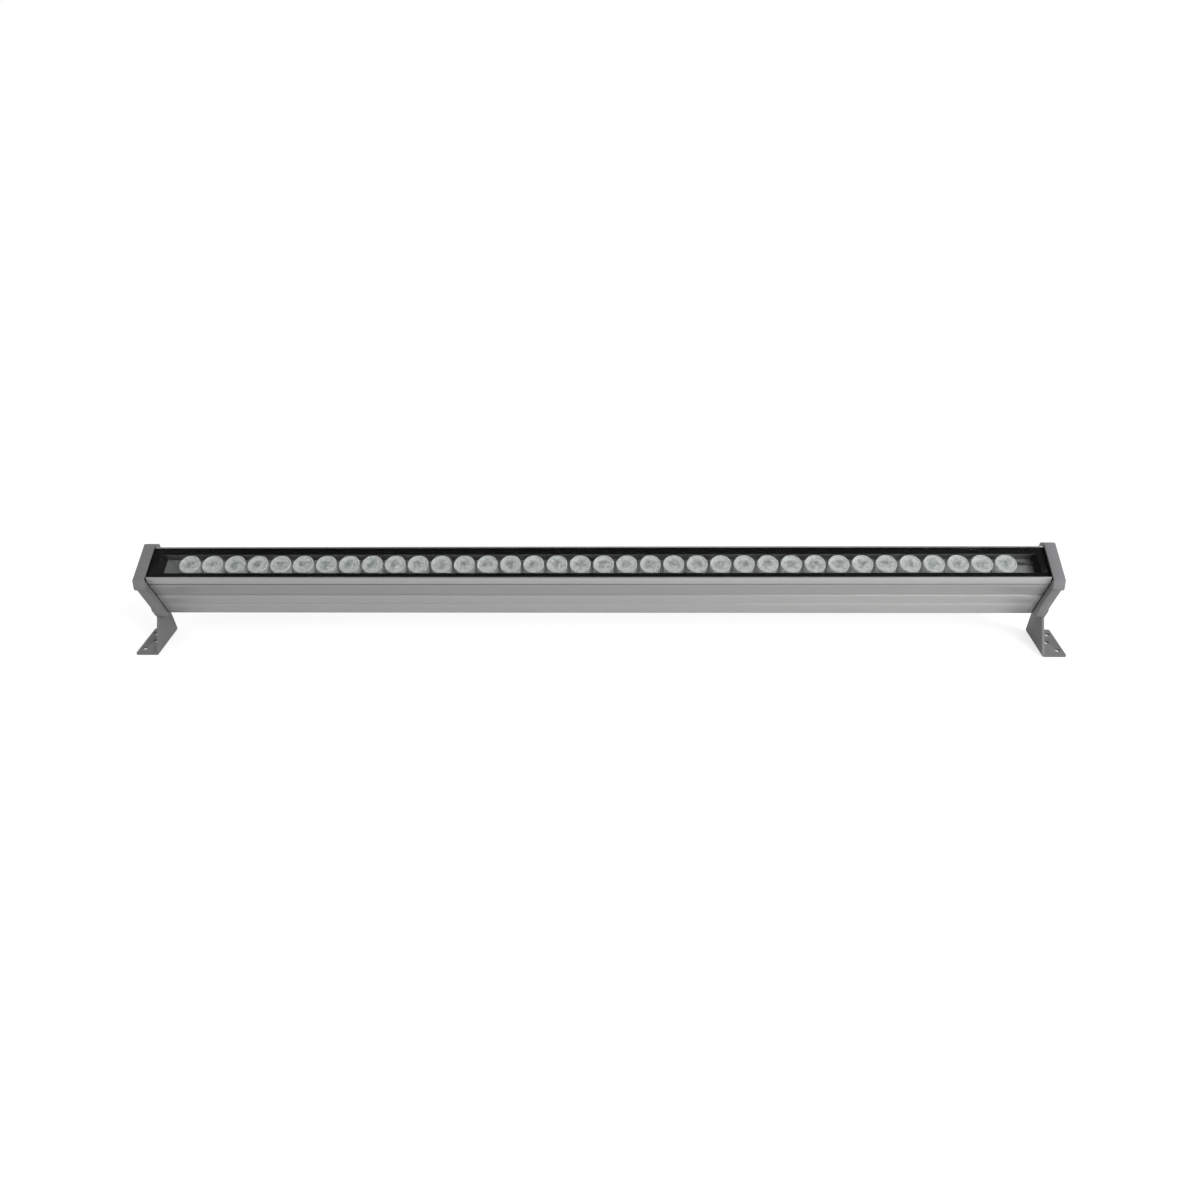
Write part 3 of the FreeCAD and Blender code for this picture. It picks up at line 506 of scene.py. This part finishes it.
# ---- the finishes: colour, roughness and the size of the grain or of the drawn lines ----
finishes = {
    "anodised": housing_finish(),
    "cast_grey": grained("cast_cap_paint", (0.175, 0.174, 0.18), 0.5, 0.5 * MM, depth=0.02 * MM),
    "bracket_steel": grained("bracket_paint", (0.15, 0.15, 0.152), 0.48, 0.6 * MM, depth=0.02 * MM),
    "cover_glass": clear_material(
        "toughened_glass", (0.97, 0.985, 0.98), roughness=0.0, index=1.5, clearness=1.0, light_passed=0.92
    ),
    "black_rubber": grained(
        "black_rubber", (0.003, 0.003, 0.003), 0.7, 0.8 * MM, depth=0.03 * MM, shine=0.15
    ),
    "board_white": grained("board_solder_mask", (0.225, 0.23, 0.23), 0.45, 1.5 * MM, depth=0.01 * MM),
    "emitter": grained("emitter_phosphor", (0.62, 0.58, 0.42), 0.35, 0.4 * MM),
    "clear_optic": lens_finish(),
    "zinc_screw": grained("stainless_steel", (0.55, 0.55, 0.56), 0.32, 0.4 * MM, metallic=1.0),
    "wire_black": grained("black_wire_sleeve", (0.01, 0.01, 0.01), 0.45, 0.6 * MM, depth=0.01 * MM),
    "wire_earth": grained("green_wire_sleeve", (0.10, 0.32, 0.03), 0.45, 0.6 * MM, depth=0.01 * MM),
    "wire_brown": grained("brown_wire_sleeve", (0.07, 0.03, 0.015), 0.45, 0.6 * MM, depth=0.01 * MM),
    "driver_shell": drawn_aluminium(
        "driver_sheet_aluminium", (0.55, 0.55, 0.56), 0.35, 0.3 * MM, 0.01 * MM
    ),
    "circuit_green": grained("circuit_solder_mask", (0.01, 0.10, 0.03), 0.3, 1.5 * MM),
    "winding": grained("winding_tape", (0.55, 0.38, 0.05), 0.4, 1.0 * MM),
    "capacitor": grained("capacitor_sleeve", (0.01, 0.013, 0.03), 0.3, 1.0 * MM),
    "foam": grained("cell_foam", (0.02, 0.02, 0.02), 0.9, 0.7 * MM, depth=0.2 * MM),
    "terminal": grained("moulded_nylon_pale", (0.68, 0.68, 0.64), 0.4, 0.9 * MM),
    "brass": grained("plain_brass", (0.72, 0.52, 0.20), 0.3, 0.6 * MM, metallic=1.0),
    "gland_nylon": grained(
        "moulded_nylon_black", (0.015, 0.015, 0.015), 0.42, 0.7 * MM, depth=0.01 * MM
    ),
    "washer_nylon": grained("washer_nylon", (0.02, 0.02, 0.02), 0.5, 0.7 * MM),
}
node_slots = {part["node"]: part["material_slot"] for part in frame["record"]["subparts"]}


def paint(piece, slot_name):
    piece.data.materials.clear()
    piece.data.materials.append(finishes[slot_name])


for node_name, node_object in frame["nodes"].items():
    paint(node_object, node_slots[node_name])


# ---- making pieces ----
def shade_by_angle(maker):
    """Smooth shading that breaks at sharper edges."""
    for edge in maker.edges:
        edge.smooth = len(edge.link_faces) == 2 and edge.calc_face_angle(0.0) < SMOOTH_ANGLE
    for face in maker.faces:
        face.smooth = True


def to_mesh(maker, name):
    """A mesh from a bmesh, which is used up."""
    mesh = bpy.data.meshes.new(name)
    maker.to_mesh(mesh)
    maker.free()
    return mesh


def link_object(name, data):
    made = bpy.data.objects.new(name, data)
    bpy.context.scene.collection.objects.link(made)
    return made


def add_piece(name, maker, body, node):
    """Link a bmesh as a finished piece that rides on a body and replaces a CAD node."""
    shade_by_angle(maker)
    piece = link_object(name, to_mesh(maker, name))
    slot_name = node_slots[node]
    paint(piece, slot_name)
    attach(piece, body)
    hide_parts(node)


def add_head_piece(name, maker, node):
    """Move a bmesh from the head's axes to the frame's and let it replace a CAD node."""
    bmesh.ops.transform(maker, matrix=HEAD_TO_FRAME, verts=maker.verts)
    bmesh.ops.recalc_face_normals(maker, faces=maker.faces)
    add_piece(name, maker, "head", node)


def bevel(maker, edges, width, segments=2):
    bmesh.ops.bevel(
        maker, geom=edges, offset=width, offset_type="OFFSET", affect="EDGES", segments=segments,
        profile=0.5, material=-1, clamp_overlap=True,
    )


def soften_edges(node, body, width):
    """Replace a CAD node by a copy of it with small rounds along its sharp edges."""
    maker = merged_copy(node)
    bmesh.ops.dissolve_limit(maker, angle_limit=FLAT_ANGLE, verts=maker.verts, edges=maker.edges)
    sharp = [
        edge for edge in maker.edges
        if len(edge.link_faces) == 2 and edge.calc_face_angle(0.0) > SHARP_ANGLE
    ]
    bevel(maker, sharp, width)
    bmesh.ops.triangulate(maker, faces=[face for face in maker.faces if len(face.verts) > 4])
    add_piece(node + "_finished", maker, body, node)


def add_copies(row, single, places):
    """Add a copy of a mesh at each place, and use the single mesh up."""
    for place in places:
        before = len(row.verts)
        row.from_mesh(single)
        row.verts.ensure_lookup_table()
        bmesh.ops.translate(row, verts=row.verts[before:], vec=place)
    bpy.data.meshes.remove(single)


def add_head_row(name, single, places, node):
    """One piece of the head from a copy of a mesh at each place."""
    row = bmesh.new()
    add_copies(row, single, places)
    add_head_piece(name, row, node)


def foot_middle(low, high):
    """The middle of a box's underside."""
    return Vector((*middle(low, high).xy, low.z))


def spin_profile(maker, points, sides):
    """Spin (radius, height) points about Z into a skin."""
    vertices = [maker.verts.new((radius, 0.0, height)) for radius, height in points]
    edges = [maker.edges.new(pair) for pair in zip(vertices, vertices[1:])]
    bmesh.ops.spin(
        maker, geom=vertices + edges, cent=(0, 0, 0), axis=(0, 0, 1), angle=2 * math.pi,
        steps=sides, use_merge=True, use_duplicate=False,
    )


def close_spun(maker):
    bmesh.ops.remove_doubles(maker, verts=maker.verts, dist=SPUN_MERGE_DISTANCE)
    bmesh.ops.recalc_face_normals(maker, faces=maker.faces)


# ---- lenses ----
def quarter_arc(centre, reach, start):
    """Points of a quarter of an ellipse, from the start angle on, without its first point."""
    points = []
    for step in range(1, ARC_STEPS + 1):
        turn = math.radians(start + 90 * step / ARC_STEPS)
        points.append((centre[0] + reach[0] * math.cos(turn), centre[1] + reach[1] * math.sin(turn)))
    return points


def lens_outside(radius, height):
    """From the foot up: rounded foot, straight side, rim, flat ring, and a dish with a button."""
    foot = radius - LENS_FOOT_INSET
    ring = radius - LENS_RING_WIDTH
    dish = height - LENS_DISH_DEPTH
    points = [(foot, 0.0)]
    points += quarter_arc((foot, LENS_FOOT_HEIGHT), (LENS_FOOT_INSET, LENS_FOOT_HEIGHT), -90)
    points += [(radius, height - LENS_RIM), (radius - LENS_RIM, height), (ring, height)]
    points += [(ring - LENS_DISH_SLOPE, dish), (LENS_BUTTON_RADIUS, dish)]
    points += quarter_arc((0.0, dish), (LENS_BUTTON_RADIUS, LENS_BUTTON_RISE), 0)
    return points


def lens_underside(radius):
    """From the foot inwards: a flat ring, and the hollow that covers the emitter."""
    points = [(radius - LENS_FOOT_INSET, 0.0), (LENS_HOLLOW_RADIUS, 0.0)]
    points += [(LENS_HOLLOW_TOP_RADIUS, LENS_HOLLOW_SIDE)]
    points += quarter_arc((0.0, LENS_HOLLOW_SIDE), (LENS_HOLLOW_TOP_RADIUS, LENS_HOLLOW_DOME), 0)
    return points


def single_lens(radius, height):
    """A moulded collimator, upright on the origin."""
    maker = bmesh.new()
    spin_profile(maker, lens_outside(radius, height), LENS_SIDES)
    spin_profile(maker, lens_underside(radius), LENS_SIDES)
    close_spun(maker)
    return to_mesh(maker, "single_lens")


def make_lens_row(node):
    boxes = head_solids(node)
    low, high = boxes[0]
    lens = single_lens((high.y - low.y) / 2, high.z - low.z)
    add_head_row(node + "_optics", lens, [foot_middle(*box) for box in boxes], node)


# ---- screws and bolts ----
def outward(low):
    """1 for a box on the right-hand side, -1 for one on the left."""
    return 1 if low.x > 0 else -1


def tip_place(low, high):
    """The middle of the end of a screw's box that faces the part's middle."""
    tip = low.x if outward(low) > 0 else high.x
    return Vector((tip, *middle(low, high).yz))


def make_along_x(maker, pointing):
    """Turn a bmesh made upright so that its top points along +X or -X."""
    turn = Matrix.Rotation(math.radians(90 * pointing), 4, "Y")
    bmesh.ops.transform(maker, matrix=turn, verts=maker.verts)


def add_rod(maker, radius, low, high, sides):
    """A closed upright rod between two heights."""
    made = bmesh.ops.create_cone(
        maker, cap_ends=True, cap_tris=False, segments=sides, radius1=radius, radius2=radius,
        depth=high - low,
    )
    bmesh.ops.translate(maker, verts=made["verts"], vec=(0, 0, (low + high) / 2))
    return made["verts"]


def level_face(verts, height):
    """The flat face of these vertices that lies at a height."""
    faces = {face for vertex in verts for face in vertex.link_faces}
    return next(
        face for face in faces
        if all(abs(vertex.co.z - height) < LEVEL_TOLERANCE for vertex in face.verts)
    )


def cut_hex_socket(maker, face):
    """Sink a hexagonal socket into a round flat face about Z."""
    bmesh.ops.inset_region(maker, faces=[face], thickness=SOCKET_INSET, use_even_offset=True)
    side_angle = 2 * math.pi / HEXAGON_SIDES
    for vertex in face.verts:
        turn = math.atan2(vertex.co.y, vertex.co.x)
        from_side_middle = (turn % side_angle) - side_angle / 2
        reach = CAP_SCREW_SOCKET_WIDTH / 2 / math.cos(from_side_middle)
        vertex.co.x = reach * math.cos(turn)
        vertex.co.y = reach * math.sin(turn)
    made = bmesh.ops.extrude_discrete_faces(maker, faces=[face])
    bmesh.ops.translate(maker, verts=made["faces"][0].verts, vec=(0, 0, -CAP_SCREW_SOCKET_DEPTH))


def single_cap_screw(low, high):
    """A round head with a hexagonal socket on a plain shank, along X, with its tip at the origin."""
    length = high.x - low.x
    under_head = length - CAP_SCREW_HEAD_HEIGHT
    maker = bmesh.new()
    head = add_rod(maker, (high.y - low.y) / 2, under_head, length, SCREW_HEAD_SIDES)
    bevel(maker, list(level_face(head, length).edges), CAP_SCREW_HEAD_ROUND)
    cut_hex_socket(maker, level_face(maker.verts, length))
    add_rod(maker, CAP_SCREW_SHANK_RADIUS, 0.0, under_head - SHELL_GAP, ROUND_SIDES)
    make_along_x(maker, outward(low))
    return to_mesh(maker, "single_cap_screw")


def make_cap_screws(node):
    boxes = head_solids(node)
    screw = single_cap_screw(*boxes[0])
    add_head_row(node + "_finished", screw, [tip_place(*box) for box in boxes], node)


def single_pivot_bolt(low, high, head_seat):
    """A hexagon bolt with a chamfered head and tip, along X, with its tip at the origin."""
    length = high.x - low.x
    under_head = length - (max(abs(low.x), abs(high.x)) - head_seat)
    maker = bmesh.new()
    head = add_rod(maker, (high.z - low.z) / 2, under_head, length, HEXAGON_SIDES)
    half_side = Matrix.Rotation(math.pi / HEXAGON_SIDES, 3, "Z")
    bmesh.ops.rotate(maker, verts=head, cent=(0, 0, 0), matrix=half_side)
    bevel(maker, list(level_face(head, length).edges), PIVOT_BOLT_HEAD_CHAMFER)
    shank = add_rod(maker, PIVOT_BOLT_RADIUS, 0.0, under_head - SHELL_GAP, ROUND_SIDES)
    bevel(maker, list(level_face(shank, 0.0).edges), PIVOT_BOLT_TIP_CHAMFER)
    make_along_x(maker, outward(low))
    return to_mesh(maker, "single_pivot_bolt")


def make_pivot_bolts(node):
    """One bolt per end; its head sits on the spring washer."""
    head_seat = head_box("pivot_spring_washers")[1].x
    row = bmesh.new()
    for low, high in head_solids(node):
        add_copies(row, single_pivot_bolt(low, high, head_seat), [tip_place(low, high)])
    add_head_piece(node + "_finished", row, node)


# ---- emitters ----
def single_emitter(width, height):
    """A small square base with a round dome, upright on the origin."""
    base_height = height - EMITTER_DOME_RADIUS
    maker = bmesh.new()
    base = bmesh.ops.create_cube(maker, size=1.0)["verts"]
    bmesh.ops.scale(maker, verts=base, vec=(width, width, base_height))
    bmesh.ops.translate(maker, verts=base, vec=(0, 0, base_height / 2))
    bevel(maker, list(maker.edges), EMITTER_BASE_ROUND)
    foot = base_height + SHELL_GAP
    dome_reach = (EMITTER_DOME_RADIUS, EMITTER_DOME_RADIUS - SHELL_GAP)
    dome = [(0.0, foot), (EMITTER_DOME_RADIUS, foot)] + quarter_arc((0.0, foot), dome_reach, 0)
    spin_profile(maker, dome, ROUND_SIDES)
    close_spun(maker)
    return to_mesh(maker, "single_emitter")


def make_emitters(node):
    boxes = head_solids(node)
    low, high = boxes[0]
    emitter = single_emitter(high.x - low.x, high.z - low.z)
    add_head_row(node + "_finished", emitter, [foot_middle(*box) for box in boxes], node)


# ---- all pieces ----
for side in ("left", "right"):
    make_lens_row("lens_row_" + side)
    make_cap_screws("cap_screws_" + side)
    make_emitters("led_emitters_" + side)
    soften_edges("end_cap_" + side, "head", END_CAP_ROUND)
    soften_edges("bracket_" + side, side + "_bracket", BRACKET_ROUND)
make_pivot_bolts("pivot_bolts")
for node_name, round_width in HEAD_NODE_ROUNDS.items():
    soften_edges(node_name, "head", round_width)


# ---- floor, background, lamps and camera ----
FLOOR_HALF_SIZE = 6.0
FLOOR_DROP = 0.2 * MM
FLOOR_GLOW_NEAR = 0.69
FLOOR_GLOW_FAR = 1.0
GLOW_RISE_START = 0.7  # metres from the part's middle
GLOW_RISE_END = 1.3
PAPER_SEEN = (0.45, 0.45, 0.45, 1.0)
PAPER_LIT = (0.80, 0.80, 0.80, 1.0)
ROOM_LIGHT = 0.62
MIRRORED_WALLS = 0.9
MIRRORED_CEILING = 0.02
CEILING_START = 0.55  # height of a direction on a sphere of radius 1
CEILING_END = 0.92


def floor_paper():
    """Paper that glows only to the eye and through glass, and runs out into the white background."""
    material, tree, shader = new_material("studio_floor_paper")
    shader.inputs["Roughness"].default_value = 0.9
    shader.inputs["Specular IOR Level"].default_value = 0.0
    distance = vector_maths(tree, "LENGTH", object_place(tree))
    glow = map_range(
        tree, distance, GLOW_RISE_START, GLOW_RISE_END, FLOOR_GLOW_NEAR, FLOOR_GLOW_FAR
    )
    rays = tree.nodes.new("ShaderNodeLightPath")
    seen = maths(tree, "MAXIMUM", rays.outputs["Is Camera Ray"], rays.outputs["Is Transmission Ray"])
    tree.links.new(mix_colors(tree, seen, PAPER_LIT, PAPER_SEEN), shader.inputs["Base Color"])
    shader.inputs["Emission Color"].default_value = WHITE
    tree.links.new(maths(tree, "MULTIPLY", seen, glow), shader.inputs["Emission Strength"])
    return material


def make_floor():
    """A pale floor that keeps the part's soft shadow."""
    maker = bmesh.new()
    bmesh.ops.create_grid(maker, x_segments=1, y_segments=1, size=FLOOR_HALF_SIZE)
    floor = link_object("studio_floor", to_mesh(maker, "studio_floor"))
    floor.location.z = -FLOOR_DROP
    floor.data.materials.append(floor_paper())


def room_strength(tree, gives_light):
    """Even where the room gives light; bright walls and a dark ceiling where glass and metal mirror it."""
    direction = tree.nodes.new("ShaderNodeTexCoord").outputs["Generated"]
    parts = add_node(tree, "ShaderNodeSeparateXYZ", Vector=direction)
    mirrored = map_range(
        tree, parts.outputs["Z"], CEILING_START, CEILING_END, MIRRORED_WALLS, MIRRORED_CEILING
    )
    in_mirrors = maths(tree, "MULTIPLY", maths(tree, "SUBTRACT", 1.0, gives_light), mirrored)
    return maths(tree, "ADD", in_mirrors, maths(tree, "MULTIPLY", gives_light, ROOM_LIGHT))


def make_world():
    """White to the eye, and a plain room to everything else."""
    world = bpy.data.worlds.new("studio")
    bpy.context.scene.world = world
    world.use_nodes = True
    tree = world.node_tree
    tree.nodes.clear()
    rays = tree.nodes.new("ShaderNodeLightPath")
    strength = room_strength(tree, rays.outputs["Is Diffuse Ray"])
    room = add_node(tree, "ShaderNodeBackground", Color=WHITE, Strength=strength)
    white = add_node(tree, "ShaderNodeBackground", Color=WHITE, Strength=1.0)
    mix = tree.nodes.new("ShaderNodeMixShader")
    tree.links.new(rays.outputs["Is Camera Ray"], mix.inputs[0])
    tree.links.new(room.outputs[0], mix.inputs[1])
    tree.links.new(white.outputs[0], mix.inputs[2])
    output = tree.nodes.new("ShaderNodeOutputWorld")
    tree.links.new(mix.outputs[0], output.inputs["Surface"])


def add_lamp(name, place, target, size, power):
    """A soft rectangular lamp that faces its target."""
    data = bpy.data.lights.new(name, "AREA")
    data.shape = "RECTANGLE"
    data.size, data.size_y = size
    data.energy = power
    lamp = link_object(name, data)
    lamp.location = place
    lamp.rotation_euler = (Vector(target) - Vector(place)).to_track_quat("-Z", "Y").to_euler()


def make_camera():
    """The photograph's camera, from its place and its yaw, pitch and roll."""
    data = bpy.data.cameras.new("photo_camera")
    data.sensor_width = SENSOR_WIDTH
    data.lens = FOCAL_PIXELS / IMAGE_WIDTH * SENSOR_WIDTH
    camera = link_object("photo_camera", data)
    ahead = Vector((
        math.sin(CAMERA_YAW) * math.cos(CAMERA_PITCH),
        math.cos(CAMERA_YAW) * math.cos(CAMERA_PITCH),
        -math.sin(CAMERA_PITCH),
    ))
    level = Vector((math.cos(CAMERA_YAW), -math.sin(CAMERA_YAW), 0.0))
    upright = level.cross(ahead)
    right = math.cos(CAMERA_ROLL) * level + math.sin(CAMERA_ROLL) * upright
    up = -math.sin(CAMERA_ROLL) * level + math.cos(CAMERA_ROLL) * upright
    turn = Matrix((right, up, -ahead)).transposed()
    camera.matrix_world = Matrix.Translation(CAMERA_PLACE) @ turn.to_4x4()
    bpy.context.scene.camera = camera


make_floor()
make_world()
make_camera()
add_lamp("key_lamp", place=(1.4, -1.35, 1.4), target=(0.2, 0.0, 0.08), size=(1.4, 1.1), power=37)
add_lamp("fill_lamp", place=(-1.8, -1.6, 1.4), target=(0.0, 0.0, 0.08), size=(1.4, 1.0), power=2)

bpy.context.scene.view_settings.view_transform = "Standard"
